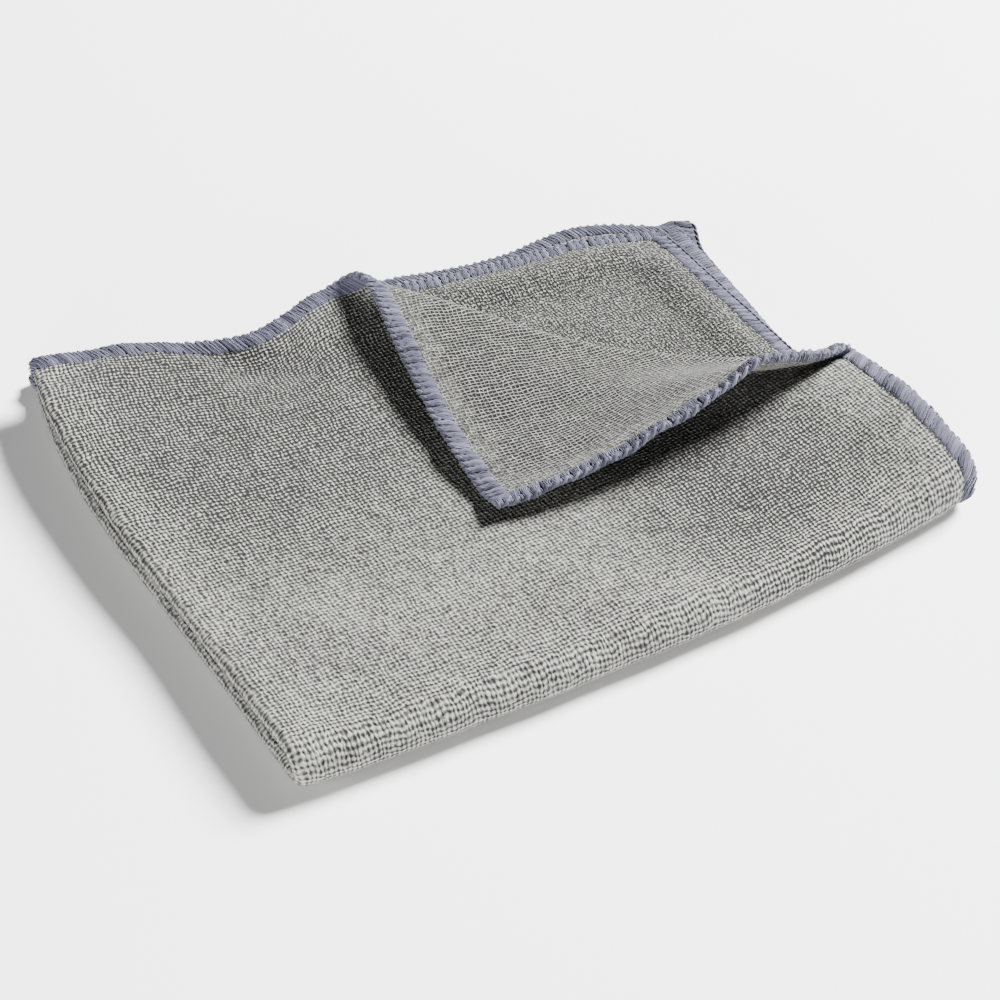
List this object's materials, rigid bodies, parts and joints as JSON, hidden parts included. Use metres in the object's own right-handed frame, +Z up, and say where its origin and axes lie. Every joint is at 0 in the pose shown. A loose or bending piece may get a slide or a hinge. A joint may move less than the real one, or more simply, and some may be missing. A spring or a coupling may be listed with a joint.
{
  "type": "microfibre cloth",
  "caption": "Knitted microfibre cleaning cloth with an overlocked edge, folded in four, with one corner of its top layer turned over to show the inner face.",
  "frame": {"origin": "centre of the folded cloth's outline, on the surface that it lies on", "axes": "+X to the right along the front fold, +Y towards the open back hems, +Z up"},
  "size_m": [0.2106, 0.1724, 0.0334],
  "materials": {
    "knit": "knitted microfibre, matt, mid grey",
    "edge_yarn": "overlock yarn, slight sheen, lilac grey"
  },
  "bodies": {
    "root": {"cloth": "knit"}
  },
  "joints": []
}
